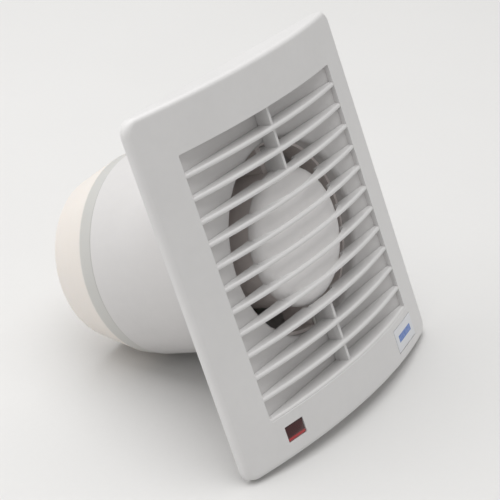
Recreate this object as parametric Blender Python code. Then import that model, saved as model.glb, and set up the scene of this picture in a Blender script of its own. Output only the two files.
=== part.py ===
"""Bathroom extractor fan for a 100 mm wall duct, modelled as an assembly of its real pieces.

The frame is the fan as installed: the wall is the plane Y = 0, the room is at -Y and the duct
runs along +Y on the Y axis. X is to the right of a person facing the cover, and Z is up.
Every length is in metres; MM turns the millimetres of the drawing into metres.
"""

import math

import bmesh
import bpy
from mathutils import Matrix, Vector

MM = 0.001
GAP = 0.3 * MM  # air between neighbouring pieces that touch on the real fan

# Front cover
COVER_WIDTH = 165.0 * MM
COVER_HEIGHT = 176.0 * MM
COVER_CROWN = 18.3 * MM  # depth of the bowed front at the middle
COVER_EDGE_DEPTH = 4.2 * MM  # depth of the bowed front where it would meet the sides
COVER_WALL = 2.0 * MM
COVER_CORNER = 7.0 * MM
COVER_FILLET = 2.5 * MM

# Louvre window in the cover
WINDOW_HALF_WIDTH = 61.8 * MM
WINDOW_TOP = 64.6 * MM
WINDOW_BOTTOM = -67.0 * MM
SLAT_COUNT = 12  # the last one is the sill of the window
SLAT_PITCH = 11.0 * MM
TOP_SLAT_HEIGHT = 54.4 * MM
SLAT_NOSE = 1.1 * MM  # radius of a slat's rounded front edge
SLAT_RISE = 1.6 * MM  # how far a slat's top curves up towards its back
SLAT_BACK = -8.2 * MM  # plane where the slats end, just in front of the deck
SLAT_RECESS = 0.15 * MM
RIB_HALF_THICKNESS = 0.9 * MM
RIB_RECESS = 2.5 * MM  # how far the rib stands back from the bowed front
RIB_DEEP_INNER = 32.8 * MM
RIB_DEEP_OUTER = 45.5 * MM
RIB_DEEP_BACK = -4.6 * MM
RIB_OVERLAP = 0.5 * MM

# Housing: wall flange, raised deck, bell mouth and duct spigot
FLANGE_HALF_WIDTH = 78.5 * MM
FLANGE_HALF_HEIGHT = 84.0 * MM
FLANGE_THICKNESS = 2.5 * MM
DECK_HALF_WIDTH = 62.2 * MM
DECK_HALF_HEIGHT = 67.5 * MM
DECK_FRONT = -7.9 * MM
SHELL_WALL = 2.0 * MM
MOUTH_RADIUS = 49.7 * MM
SHROUD_INNER = 47.1 * MM  # throat in which the impeller runs
SHROUD_OUTER = 48.9 * MM
SHROUD_END = 46.0 * MM
DUCT_OUTER = 52.4 * MM
DUCT_INNER = 50.4 * MM
SPIGOT_END = 76.4 * MM
DECK_RIB_FRONT = -6.5 * MM
DECK_RIB_BACK = -0.6 * MM
RING_SEGMENTS = 64  # round pieces of the duct's size

# Holes and screws
WALL_SLOT_X = 70.0 * MM
WALL_SLOT_Z = 60.0 * MM
WALL_SLOT_HALF_WIDTH = 2.2 * MM
WALL_SLOT_HALF_HEIGHT = 4.5 * MM
CABLE_HOLE_X = 27.0 * MM
CABLE_HOLE_RADIUS = 5.3 * MM
CLAMP_X = 9.0 * MM
CLAMP_SCREW_OFFSET = 4.7 * MM
LEAD_SLOT_HALF_WIDTH = 2.3 * MM

# Motor carrier and motor
CARRIER_INNER = 45.2 * MM
CARRIER_OUTER = 46.8 * MM
CARRIER_FRONT = -2.0 * MM
CARRIER_BACK = 10.0 * MM
STRUT_HALF_THICKNESS = 1.6 * MM
STRUT_FRONT = -2.4 * MM
STRUT_BACK = 14.0 * MM
CUP_OUTER = 33.0 * MM
CUP_INNER = 31.2 * MM
CUP_FRONT = -6.6 * MM
CUP_FLOOR = 20.0 * MM
CUP_BACK = 22.0 * MM
CAP_RADIUS = 33.6 * MM
CAP_FRONT = -11.5 * MM
STACK_LENGTH = 12.0 * MM  # the laminations run from Y = 0 to this
YOKE_OUTER = 30.4 * MM
YOKE_INNER = 24.4 * MM
POLE_HALF_WIDTH = 6.0 * MM
SHOE_RADIUS = 13.2 * MM
BORE_RADIUS = 10.4 * MM
ROTOR_RADIUS = 9.9 * MM
END_RING_RADIUS = 9.4 * MM
SHAFT_RADIUS = 2.0 * MM
BOLT_OFFSET = 27.4 * MM  # motor screws at +X and -X
BOLT_HOLE = 1.6 * MM
COIL_INNER_END = 13.6 * MM
COIL_OUTER_END = 21.6 * MM

# Impeller behind the motor
HUB_RADIUS = 30.0 * MM
HUB_FRONT = 24.0 * MM
HUB_BACK = 44.0 * MM
BLADE_ROOT = 29.0 * MM
BLADE_TIP = 45.6 * MM
BLADE_COUNT = 7
BLADE_STATIONS = 4
BLADE_ROOT_LEAN = 38.0  # degrees from the axis
BLADE_TIP_LEAN = 53.0
BLADE_SWEEP = 6.0  # degrees the tip trails behind the root
SHAFT_END = 50.0 * MM

# Back-draught shutter on the end of the spigot
COLLAR_FRONT = 70.0 * MM
COLLAR_STEP = 76.7 * MM
COLLAR_WAIST = 85.0 * MM
COLLAR_END = 111.0 * MM
COLLAR_STEP_RADIUS = 51.9 * MM
COLLAR_WAIST_RADIUS = 51.4 * MM
COLLAR_END_RADIUS = 42.4 * MM
COLLAR_WALL = 1.8 * MM
SEAT_FRONT = 103.8 * MM
SEAT_BACK = 105.2 * MM
PIN_DEPTH = 108.4 * MM  # Y of the flaps' hinge pin
FLAP_RADIUS = 39.8 * MM

# Lower band between the deck and the cover's bottom edge
BAND_HEIGHT = -76.6 * MM  # Z of the lens, the badge and the wiring
PEG_X = 38.0 * MM
PEG_Z = 77.0 * MM
PEG_RADIUS = 1.5 * MM
LENS_X = -50.9 * MM
LENS_WIDTH = 11.2 * MM
LENS_HEIGHT = 7.3 * MM
BADGE_X = 52.8 * MM
BADGE_WIDTH = 24.6 * MM
BADGE_HEIGHT = 11.8 * MM
LAMP_DEPTH = -5.7 * MM
LAMP_RADIUS = 1.9 * MM
BLOCK_FRONT = -12.0 * MM
BLOCK_BACK = -2.8 * MM
BLOCK_BOTTOM = -83.0 * MM
BLOCK_TOP = -72.0 * MM
TERMINAL_FIRST_X = -25.0 * MM
TERMINAL_PITCH = 8.0 * MM
WELL_DEPTH = -5.2 * MM  # Y of the terminal block's wire wells
RESISTOR_HEIGHT = -70.8 * MM
MOTOR_LEAD_RADIUS = 0.75 * MM
LAMP_LEAD_RADIUS = 0.4 * MM

bow_radius = ((COVER_WIDTH / 2) ** 2 + (COVER_CROWN - COVER_EDGE_DEPTH) ** 2) / (
    2 * (COVER_CROWN - COVER_EDGE_DEPTH)
)


def front_y(x):
    """Y of the bowed front of the cover at a given X."""
    return bow_radius - math.sqrt(bow_radius**2 - x**2) - COVER_CROWN


def on_front(x, z):
    """Frame that sits on the bowed front: local X along the bow, local Y into the wall, local Z up."""
    turn = math.asin(x / bow_radius)
    return Matrix.Translation((x, front_y(x), z)) @ Matrix.Rotation(turn, 4, "Z")


# ---------------------------------------------------------------- materials


def material(name, colour, roughness, metallic=0.0):
    made = bpy.data.materials.new(name)
    made.use_nodes = True
    shader = made.node_tree.nodes["Principled BSDF"]
    shader.inputs["Base Color"].default_value = (*colour, 1.0)
    shader.inputs["Roughness"].default_value = roughness
    shader.inputs["Metallic"].default_value = metallic
    made.diffuse_color = (*colour, 1.0)
    return made


def make_materials():
    return {
        "white": material("white_abs", (0.60, 0.59, 0.59), 0.42),
        "carrier": material("carrier_abs", (0.52, 0.51, 0.50), 0.5),
        "cream": material("natural_polypropylene", (0.78, 0.74, 0.68), 0.45),
        "grey": material("impeller_grey", (0.22, 0.21, 0.21), 0.5),
        "red": material("red_lens", (0.20, 0.01, 0.012), 0.15),
        "blue": material("badge_plate", (0.55, 0.58, 0.64), 0.4),
        "glass": material("lamp_glass", (0.75, 0.45, 0.30), 0.1),
        "steel": material("silicon_steel", (0.35, 0.35, 0.37), 0.4, 1.0),
        "zinc": material("zinc_plate", (0.55, 0.55, 0.53), 0.35, 1.0),
        "copper": material("enamelled_copper", (0.45, 0.16, 0.06), 0.35, 0.8),
        "bronze": material("sintered_bronze", (0.40, 0.26, 0.12), 0.5, 1.0),
        "brass": material("brass", (0.60, 0.45, 0.16), 0.3, 1.0),
        "nylon": material("nylon", (0.70, 0.68, 0.62), 0.5),
        "black": material("black_rubber", (0.03, 0.03, 0.03), 0.7),
        "wire": material("white_wire", (0.66, 0.65, 0.62), 0.5),
        "ceramic": material("resistor_body", (0.45, 0.36, 0.24), 0.5),
    }


# ---------------------------------------------------------------- solids


def add(name, mesh_builder, look=None, smooth_angle=35.0):
    """New object from a filled bmesh. Without a look it is a helper, hidden from renders."""
    bmesh.ops.recalc_face_normals(mesh_builder, faces=mesh_builder.faces)
    mesh = bpy.data.meshes.new(name)
    mesh_builder.to_mesh(mesh)
    mesh_builder.free()
    mesh.shade_smooth()
    mesh.set_sharp_from_angle(angle=math.radians(smooth_angle))
    made = bpy.data.objects.new(name, mesh)
    bpy.context.scene.collection.objects.link(made)
    if look is None:
        made.hide_render = True
        made.display_type = "WIRE"
    else:
        mesh.materials.append(look)
    return made


def loft(name, rings, look=None, closed=False):
    """Skin over rings of equal point count. A closed loft joins its last ring to its first."""
    builder = bmesh.new()
    verts = [[builder.verts.new(point) for point in ring] for ring in rings]
    count = len(rings[0])
    pairs = list(zip(verts, verts[1:]))
    if closed:
        pairs.append((verts[-1], verts[0]))
    for near, far in pairs:
        for i in range(count):
            j = (i + 1) % count
            builder.faces.new((near[i], near[j], far[j], far[i]))
    if not closed:
        builder.faces.new(verts[0])
        builder.faces.new(verts[-1])
    return add(name, builder, look)


def turned(name, profile, look=None, segments=48, centre=(0.0, 0.0)):
    """Body of revolution about the line along Y at (X, Z) = centre, from a closed (radius, Y) profile."""
    builder = bmesh.new()
    rings = []
    for radius, y in profile:
        if radius == 0.0:
            rings.append([builder.verts.new((centre[0], y, centre[1]))])
            continue
        angles = [2 * math.pi * i / segments for i in range(segments)]
        rings.append(
            [
                builder.verts.new((centre[0] + radius * math.cos(a), y, centre[1] + radius * math.sin(a)))
                for a in angles
            ]
        )
    for near, far in zip(rings, rings[1:] + rings[:1]):
        if len(near) == 1 and len(far) == 1:
            continue
        for i in range(segments):
            j = (i + 1) % segments
            if len(near) == 1:
                builder.faces.new((near[0], far[j], far[i]))
            elif len(far) == 1:
                builder.faces.new((near[i], near[j], far[0]))
            else:
                builder.faces.new((near[i], near[j], far[j], far[i]))
    return add(name, builder, look)


def box(name, low, high, look=None, frame=None):
    """Box between two corners, in millimetres, optionally placed by a frame."""
    builder = bmesh.new()
    bmesh.ops.create_cube(builder, size=1.0)
    low, high = Vector(low) * MM, Vector(high) * MM
    size = high - low
    where = Matrix.Translation((low + high) / 2) @ Matrix.Diagonal((*size, 1.0))
    if frame is not None:
        where = frame @ where
    bmesh.ops.transform(builder, matrix=where, verts=builder.verts)
    return add(name, builder, look)


def rod(name, start, end, radius, look=None, segments=16):
    """Cylinder between two points given in metres."""
    start, end = Vector(start), Vector(end)
    along = (end - start).normalized()
    side = along.orthogonal().normalized()
    up = along.cross(side)
    rings = []
    for centre in (start, end):
        angles = [2 * math.pi * (i + 0.5) / segments for i in range(segments)]
        rings.append([centre + radius * (math.cos(a) * side + math.sin(a) * up) for a in angles])
    return loft(name, rings, look)


def combine(target, others, operation, solver="EXACT"):
    for other in others:
        step = target.modifiers.new(f"{operation.lower()} {other.name}", "BOOLEAN")
        step.operation = operation
        step.object = other
        step.solver = solver
    return target


def join(target, *pieces):
    return combine(target, pieces, "UNION")


def cut(target, *cutters):
    return combine(target, cutters, "DIFFERENCE")


def wire(name, route, radius, look):
    """Insulated lead: a smooth curve through the route's own points, given in millimetres."""
    points = [Vector(p) * MM for p in route]
    smooth = []
    for i in range(len(points) - 1):
        before = points[max(i - 1, 0)]
        after = points[min(i + 2, len(points) - 1)]
        start, end = points[i], points[i + 1]
        steps = max(2, round((end - start).length / (5 * radius)))
        for k in range(steps):
            t = k / steps
            smooth.append(
                0.5
                * (
                    2 * start
                    + (end - before) * t
                    + (2 * before - 5 * start + 4 * end - after) * t**2
                    + (3 * start - before - 3 * end + after) * t**3
                )
            )
    smooth.append(points[-1])
    curve = bpy.data.curves.new(name, "CURVE")
    curve.dimensions = "3D"
    curve.bevel_depth = radius
    curve.bevel_resolution = 2
    curve.use_fill_caps = True
    spline = curve.splines.new("POLY")
    spline.points.add(len(smooth) - 1)
    for slot, point in zip(spline.points, smooth):
        slot.co = (*point, 1.0)
    curve.materials.append(look)
    made = bpy.data.objects.new(name, curve)
    bpy.context.scene.collection.objects.link(made)
    return made


def rounded_outline(half_width, top, bottom, radius, across=16, along=8, corner=3):
    """Rounded rectangle in (X, Z), clockwise from the left end of its top edge, with a fixed point count."""
    right = half_width - radius
    corners = [
        (right, top - radius, 90.0),
        (right, bottom + radius, 0.0),
        (-right, bottom + radius, -90.0),
        (-right, top - radius, 180.0),
    ]
    counts = [across, along, across, along]
    arcs = []
    for x, z, start in corners:
        angles = [math.radians(start - 90.0 * k / corner) for k in range(corner + 1)]
        arcs.append([(x + radius * math.cos(a), z + radius * math.sin(a)) for a in angles])
    outline = []
    for side in range(4):
        begin, end = arcs[side - 1][-1], arcs[side][0]
        for k in range(1, counts[side]):
            t = k / counts[side]
            outline.append((begin[0] + t * (end[0] - begin[0]), begin[1] + t * (end[1] - begin[1])))
        outline.extend(arcs[side])
    return outline


def plate(name, half_width, half_height, radius, front, back, look=None):
    """Flat rounded plate between two Y planes."""
    outline = rounded_outline(half_width, half_height, -half_height, radius, across=1, along=1)
    return loft(name, [[(x, y, z) for x, z in outline] for y in (front, back)], look)


# ---------------------------------------------------------------- front cover


def cover_shell(look):
    """Bowed shell with a rounded rim and the louvre window, as one closed skin."""
    half_width, half_height = COVER_WIDTH / 2, COVER_HEIGHT / 2

    def ring(inset, rise, back=None):
        outline = rounded_outline(
            half_width - inset, half_height - inset, inset - half_height, COVER_CORNER - inset
        )
        return [(x, front_y(x) + rise if back is None else back, z) for x, z in outline]

    def window(rise):
        outline = rounded_outline(WINDOW_HALF_WIDTH, WINDOW_TOP, WINDOW_BOTTOM, 0.6 * MM)
        return [(x, front_y(x) + rise, z) for x, z in outline]

    rings = [ring(0.0, 0.0, back=-GAP)]
    for degrees in (0.0, 30.0, 60.0, 90.0):
        a = math.radians(degrees)
        rings.append(ring(COVER_FILLET * (1 - math.cos(a)), COVER_FILLET * (1 - math.sin(a))))
    rings.append(window(0.0))
    rings.append(window(COVER_WALL))
    rings.append(ring(COVER_FILLET, COVER_WALL))
    rings.append(ring(COVER_WALL, 0.0, back=-GAP))
    return loft("front_cover", rings, look, closed=True)


def slat(index):
    """One louvre: a level sheet behind the bow with a rounded front edge."""
    z = TOP_SLAT_HEIGHT - index * SLAT_PITCH
    reach = WINDOW_HALF_WIDTH + 1.0 * MM
    stations = 15
    rings = []
    for k in range(stations):
        x = -reach + 2 * reach * k / (stations - 1)
        nose = front_y(x) + SLAT_RECESS + SLAT_NOSE
        back = max(SLAT_BACK, nose + 0.4 * MM)
        ring = []
        for degrees in (90, 45, 0, -45, -90):
            a = math.radians(degrees)
            ring.append((x, nose - SLAT_NOSE * math.cos(a), z + SLAT_NOSE * math.sin(a)))
        ring.append((x, back, z - 0.5 * MM))
        ring.append((x, back, z + SLAT_RISE))
        ring.append((x, (nose + back) / 2, z + SLAT_NOSE - 0.1 * MM))
        rings.append(ring)
    return loft(f"slat_{index + 1}", rings)


def cover_ribs():
    """Upright rib behind the slats: deep in the mouth, shallow over the deck, absent at the motor."""
    half = RIB_HALF_THICKNESS / MM
    front = (front_y(0.0) + RIB_RECESS) / MM
    inner, outer = RIB_DEEP_INNER / MM, RIB_DEEP_OUTER / MM
    ribs = []
    for side, end in ((1, WINDOW_TOP / MM + 1.0), (-1, WINDOW_BOTTOM / MM - 1.0)):
        low, high = sorted((side * inner, side * outer))
        ribs.append(box("rib_deep", (-half, front, low), (half, RIB_DEEP_BACK / MM, high)))
        low, high = sorted((side * (outer - RIB_OVERLAP / MM), end))
        ribs.append(box("rib_shallow", (-half, front, low), (half, SLAT_BACK / MM, high)))
    return ribs


def front_patch(name, x, width, height, front, back, look=None):
    """Box set square to the bowed front, on the lower band. front and back are in mm."""
    half_width, half_height = width / 2 / MM, height / 2 / MM
    frame = on_front(x, BAND_HEIGHT)
    return box(name, (-half_width, front, -half_height), (half_width, back, half_height), look, frame)


def front_cover(looks):
    cover = cover_shell(looks["white"])
    pieces = [slat(i) for i in range(SLAT_COUNT)] + cover_ribs()
    clearance = [(0.0, -16.6), (22.0, -16.6), (35.6, -10.6), (35.6, 0.0), (0.0, 0.0)]
    notch = turned("motor_clearance", [(r * MM, y * MM) for r, y in clearance])
    pegs = []
    for sign_x in (-1, 1):
        for sign_z in (-1, 1):
            x, z = sign_x * PEG_X, sign_z * PEG_Z
            start = front_y(x) + COVER_WALL / 2
            pegs.append(rod("cover_peg", (x, start, z), (x, -4.4 * MM, z), PEG_RADIUS, segments=12))
    window = front_patch("lens_window", LENS_X, LENS_WIDTH + 2 * GAP, LENS_HEIGHT + 2 * GAP, -3.0, 4.0)
    recess = front_patch("badge_recess", BADGE_X, BADGE_WIDTH + 2 * GAP, BADGE_HEIGHT + 2 * GAP, -2.0, 1.1)
    # Many thin bowed shapes meet in this piece, and the exact solver leaves gaps among them.
    combine(cover, pieces, "UNION", "MANIFOLD")
    combine(cover, [notch], "DIFFERENCE", "MANIFOLD")
    combine(cover, pegs, "UNION", "MANIFOLD")
    return combine(cover, [window, recess], "DIFFERENCE", "MANIFOLD")


def indicator_lens(looks):
    lens = front_patch("indicator_lens", LENS_X, LENS_WIDTH, LENS_HEIGHT, 0.5, 2.6, looks["red"])
    width, height = LENS_WIDTH + 2.4 * MM, LENS_HEIGHT + 2.3 * MM
    return join(lens, front_patch("lens_flange", LENS_X, width, height, 2.4, 3.1))


def badge_plate(looks):
    return front_patch("badge_plate", BADGE_X, BADGE_WIDTH, BADGE_HEIGHT, 0.2, 0.8, looks["blue"])


# ---------------------------------------------------------------- housing


def duct_bore():
    """Cutter for the inside of the spigot: bell mouth, impeller shroud and the wider tube round it."""
    flare = MOUTH_RADIUS - SHROUD_INNER
    behind_mouth = DECK_FRONT + 2.9 * MM
    profile = [(0.0, DECK_FRONT - 1.0 * MM), (MOUTH_RADIUS + 0.4 * MM, DECK_FRONT - 1.0 * MM)]
    for degrees in (0.0, 30.0, 60.0, 90.0):
        a = math.radians(degrees)
        profile.append((MOUTH_RADIUS - flare * math.sin(a), DECK_FRONT + flare * (1 - math.cos(a))))
    profile += [
        (SHROUD_INNER, SHROUD_END),
        (SHROUD_OUTER, SHROUD_END),
        (SHROUD_OUTER, behind_mouth),
        (DUCT_INNER, behind_mouth),
        (DUCT_INNER, SPIGOT_END + 1.0 * MM),
        (0.0, SPIGOT_END + 1.0 * MM),
    ]
    return turned("duct_bore", profile, segments=64)


def deck_ribs():
    """Stiffeners inside the raised deck, clear of the duct and of the motor's leads."""
    front, back = DECK_RIB_FRONT / MM, DECK_RIB_BACK / MM
    beside_duct = (DUCT_OUTER - 0.8 * MM) / MM
    side_wall = (DECK_HALF_WIDTH - 1.2 * MM) / MM
    end_wall = (DECK_HALF_HEIGHT - 1.1 * MM) / MM
    half = 0.8
    ribs = [box("deck_rib_top", (-half, front, beside_duct), (half, back, end_wall))]
    for side in (-1, 1):
        low, high = sorted((side * beside_duct, side * side_wall))
        ribs.append(box("deck_rib_side", (low, front, -half), (high, back, half)))
        x = side * 20.0
        ribs.append(box("deck_rib_low", (x - half, front, -end_wall), (x + half, back, -44.0)))
    return ribs


def housing(looks):
    body = plate(
        "housing",
        FLANGE_HALF_WIDTH,
        FLANGE_HALF_HEIGHT,
        6.0 * MM,
        -FLANGE_THICKNESS,
        0.0,
        looks["white"],
    )
    deck = plate("deck", DECK_HALF_WIDTH, DECK_HALF_HEIGHT, 4.0 * MM, DECK_FRONT, -0.2 * MM)
    hollow = plate(
        "deck_hollow",
        DECK_HALF_WIDTH - SHELL_WALL,
        DECK_HALF_HEIGHT - SHELL_WALL,
        2.5 * MM,
        DECK_FRONT + SHELL_WALL,
        1.0 * MM,
    )
    join(body, deck)
    cut(body, hollow)
    spigot_front = DECK_FRONT + 1.0 * MM
    spigot = [
        (0.0, spigot_front),
        (DUCT_OUTER, spigot_front),
        (DUCT_OUTER, SPIGOT_END),
        (0.0, SPIGOT_END),
    ]
    join(body, turned("spigot", spigot, segments=RING_SEGMENTS), *deck_ribs())
    bosses = []
    holes = []
    slots = []
    half_x, half_z = WALL_SLOT_HALF_WIDTH / MM, WALL_SLOT_HALF_HEIGHT / MM
    for sign_x in (-1, 1):
        for sign_z in (-1, 1):
            x, z = sign_x * PEG_X, sign_z * PEG_Z
            bosses.append(rod("peg_boss", (x, -1.0 * MM, z), (x, -9.5 * MM, z), 3.4 * MM))
            holes.append(rod("peg_socket", (x, -10.0 * MM, z), (x, -3.9 * MM, z), PEG_RADIUS + GAP))
            centre = Matrix.Translation((sign_x * WALL_SLOT_X, 0.0, sign_z * WALL_SLOT_Z))
            slots.append(box("wall_slot", (-half_x, -4.0, -half_z), (half_x, 1.0, half_z), frame=centre))
    for side in (-1, 1):
        z = BAND_HEIGHT + side * CLAMP_SCREW_OFFSET
        bosses.append(rod("clamp_boss", (CLAMP_X, -1.0 * MM, z), (CLAMP_X, -5.2 * MM, z), 2.2 * MM))
        holes.append(rod("clamp_hole", (CLAMP_X, -6.0 * MM, z), (CLAMP_X, -3.4 * MM, z), 1.3 * MM))
    join(body, *bosses)
    cut(body, duct_bore(), *holes)
    cable_hole = rod(
        "cable_hole",
        (CABLE_HOLE_X, -4.0 * MM, BAND_HEIGHT),
        (CABLE_HOLE_X, 1.0 * MM, BAND_HEIGHT),
        CABLE_HOLE_RADIUS,
        segments=24,
    )
    half = LEAD_SLOT_HALF_WIDTH / MM
    deck_wall_slot = box("lead_slot_wall", (-half, -5.5, -69.0), (half, -2.8, -65.0))
    duct_wall_slot = box("lead_slot_duct", (-half, -5.2, -53.5), (half, -2.8, -46.0))
    return cut(body, *slots, cable_hole, deck_wall_slot, duct_wall_slot)


# ---------------------------------------------------------------- motor carrier


def motor_carrier(looks):
    """Ring pushed into the duct, with two upright struts that hold the motor cup."""
    ring = [
        (CARRIER_INNER, CARRIER_FRONT),
        (CARRIER_OUTER, CARRIER_FRONT),
        (CARRIER_OUTER, CARRIER_BACK),
        (CARRIER_INNER, CARRIER_BACK),
    ]
    carrier = turned("motor_carrier", ring, looks["carrier"], RING_SEGMENTS)
    half = STRUT_HALF_THICKNESS / MM
    inner, outer = (CUP_OUTER - 1.0 * MM) / MM, (CARRIER_INNER + 0.8 * MM) / MM
    for side in (-1, 1):
        low, high = sorted((side * inner, side * outer))
        join(carrier, box("strut", (-half, STRUT_FRONT / MM, low), (half, STRUT_BACK / MM, high)))
    outside = [
        (0.0, CUP_FRONT),
        (CUP_OUTER, CUP_FRONT),
        (CUP_OUTER, CUP_BACK - 3.0 * MM),
        (CUP_OUTER - 3.0 * MM, CUP_BACK),
        (0.0, CUP_BACK),
    ]
    inside = [
        (0.0, CUP_FRONT - 1.0 * MM),
        (CUP_INNER, CUP_FRONT - 1.0 * MM),
        (CUP_INNER, CUP_FLOOR - 2.0 * MM),
        (CUP_INNER - 2.0 * MM, CUP_FLOOR),
        (0.0, CUP_FLOOR),
    ]
    join(carrier, turned("cup_outside", outside))
    cut(carrier, turned("cup_inside", inside))
    for side in (-1, 1):
        x = side * BOLT_OFFSET
        join(carrier, rod("motor_post", (x, 14.9 * MM, 0.0), (x, 20.8 * MM, 0.0), 3.2 * MM))
        cut(carrier, rod("post_hole", (x, 14.0 * MM, 0.0), (x, 19.4 * MM, 0.0), BOLT_HOLE, segments=12))
    half = LEAD_SLOT_HALF_WIDTH / MM
    return cut(
        carrier,
        rod("shaft_hole", (0, 15.0 * MM, 0), (0, 24.0 * MM, 0), 5.9 * MM, segments=24),
        box("lead_slot_cup", (-half, -4.8, -35.0), (half, -2.0, -30.0)),
    )


def motor_cap(looks):
    """Flat round cover of the motor with a rounded edge; a thin ring behind it fits inside the cup."""
    corner = 3.0 * MM
    profile = [(0.0, CAP_FRONT)]
    for degrees in (90.0, 60.0, 30.0, 0.0):
        a = math.radians(degrees)
        profile.append((CAP_RADIUS - corner * (1 - math.cos(a)), CAP_FRONT + corner * (1 - math.sin(a))))
    inner = [(33.6, -7.3), (30.8, -7.3), (30.8, -5.5), (29.6, -5.5), (29.6, -9.7), (0.0, -9.7)]
    profile += [(r * MM, y * MM) for r, y in inner]
    return turned("motor_cap", profile, looks["white"])


# ---------------------------------------------------------------- motor


def stator_core(looks):
    """Ring yoke with an upper and a lower pole, whose shoes close round the rotor."""
    yoke = [(YOKE_INNER, 0.0), (YOKE_OUTER, 0.0), (YOKE_OUTER, STACK_LENGTH), (YOKE_INNER, STACK_LENGTH)]
    core = turned("stator_core", yoke, looks["steel"])
    half = POLE_HALF_WIDTH / MM
    stack = STACK_LENGTH / MM
    shoe = rod("pole_shoe", (0, 0, 0), (0, STACK_LENGTH, 0), SHOE_RADIUS, segments=32)
    pole_gap = box("pole_gap", (-14.0, -1.0, -4.5), (14.0, stack + 1.0, 4.5))
    join(core, cut(shoe, pole_gap))
    for side in (-1, 1):
        low, high = sorted((side * 5.0, side * 25.5))
        join(core, box("pole", (-half, 0.0, low), (half, stack, high)))
    cut(core, rod("rotor_bore", (0, -1.0 * MM, 0), (0, STACK_LENGTH + 1.0 * MM, 0), BORE_RADIUS, segments=32))
    for side in (-1, 1):
        x = side * BOLT_OFFSET
        hole = rod("stack_hole", (x, -1.0 * MM, 0), (x, STACK_LENGTH + 1.0 * MM, 0), BOLT_HOLE, segments=12)
        combine(core, [hole], "DIFFERENCE", "MANIFOLD")
    return core


def coil(name, side, looks):
    """Bobbin with two flanges on one pole, and its winding."""
    inner, outer = COIL_INNER_END / MM, COIL_OUTER_END / MM
    stack = STACK_LENGTH / MM

    def span(a, b):
        return sorted((side * a, side * b))

    def sleeve(label, half, reach, near, far, look=None):
        low, high = span(near, far)
        return box(label, (-half, -reach, low), (half, stack + reach, high), look)

    bobbin = sleeve(f"bobbin_{name}", 7.1, 1.1, inner, outer, looks["nylon"])
    join(bobbin, sleeve("flange_inner", 10.5, 4.0, inner - 0.05, inner + 0.8))
    join(bobbin, sleeve("flange_outer", 10.5, 4.0, outer - 0.8, outer + 0.05))
    cut(bobbin, sleeve("pole_opening", 6.3, 0.3, inner - 1.0, outer + 1.0))
    winding = sleeve(f"winding_{name}", 9.9, 3.5, inner + 1.1, outer - 1.1, looks["copper"])
    cut(winding, sleeve("winding_opening", 7.4, 1.4, inner, outer))


def bearing_bracket(name, strap, boss, looks):
    """Pressed strap across the stator with a round bearing seat. strap and boss are (front, back) in mm."""
    bracket = box(name, (-30.0, strap[0], -5.0), (30.0, strap[1], 5.0), looks["zinc"])
    join(bracket, rod("bearing_seat", (0, boss[0] * MM, 0), (0, boss[1] * MM, 0), 5.5 * MM, segments=24))
    cut(bracket, rod("bearing_hole", (0, -20 * MM, 0), (0, 30 * MM, 0), 4.3 * MM, segments=24))
    for side in (-1, 1):
        x = side * BOLT_OFFSET
        cut(bracket, rod("bracket_hole", (x, -20 * MM, 0), (x, 30 * MM, 0), BOLT_HOLE, segments=12))
    return bracket


def bush(name, front, back, outer, look):
    """Plain ring on the shaft, from front to back in mm, with an outer radius in mm."""
    inner = SHAFT_RADIUS + GAP
    profile = [(inner, front * MM), (outer * MM, front * MM), (outer * MM, back * MM), (inner, back * MM)]
    return turned(name, profile, look, 24)


def motor_screw(name, x, looks):
    """Long screw through both brackets and the stack into the cup's post."""
    profile = [(0.0, -5.2), (1.8, -5.2), (2.5, -4.6), (2.5, -2.9), (1.3, -2.9), (1.3, 18.8), (0.0, 18.8)]
    screw = turned(name, [(r * MM, y * MM) for r, y in profile], looks["zinc"], 16, (x, 0.0))
    slot_x = x / MM
    return cut(screw, box("screw_slot", (slot_x - 3.0, -6.0, -0.35), (slot_x + 3.0, -4.4, 0.35)))


def motor(looks):
    stator_core(looks)
    coil("upper", 1, looks)
    coil("lower", -1, looks)
    bearing_bracket("front_bearing_bracket", (-2.6, -0.6), (-6.0, -0.6), looks)
    bearing_bracket("rear_bearing_bracket", (12.6, 14.6), (12.6, 19.6), looks)
    bush("front_bearing", -5.8, -0.9, 4.0, looks["bronze"])
    bush("rear_bearing", 12.9, 19.4, 4.0, looks["bronze"])
    motor_screw("motor_screw_left", -BOLT_OFFSET, looks)
    motor_screw("motor_screw_right", BOLT_OFFSET, looks)


# ---------------------------------------------------------------- rotor and impeller


def blade(index):
    """Twisted, cambered blade from inside the hub wall to the tip, where it leans most."""
    turn = 2 * math.pi * index / BLADE_COUNT
    half_depth = (HUB_BACK - HUB_FRONT) / 2 - 1.5 * MM
    middle = (HUB_FRONT + HUB_BACK) / 2
    thickness = 0.8 * MM
    rings = []
    for station in range(BLADE_STATIONS):
        t = station / (BLADE_STATIONS - 1)
        radius = BLADE_ROOT + t * (BLADE_TIP - BLADE_ROOT)
        lean = BLADE_ROOT_LEAN + t * (BLADE_TIP_LEAN - BLADE_ROOT_LEAN)
        sweep = BLADE_SWEEP * t * t
        half_chord = half_depth * math.tan(math.radians(lean))
        centre = turn + math.radians(sweep)
        ring = []
        for chord, side in ((-1, -1), (0, -1), (1, -1), (1, 1), (0, 1), (-1, 1)):
            bulge = 1.8 * MM * (1 - chord * chord)
            across = chord * half_chord + side * thickness
            angle = centre + across / radius
            y = middle + chord * half_depth - side * thickness * 0.6 - bulge
            ring.append((radius * math.cos(angle), y, radius * math.sin(angle)))
        rings.append(ring)
    return loft(f"blade_{index + 1}", rings)


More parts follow.
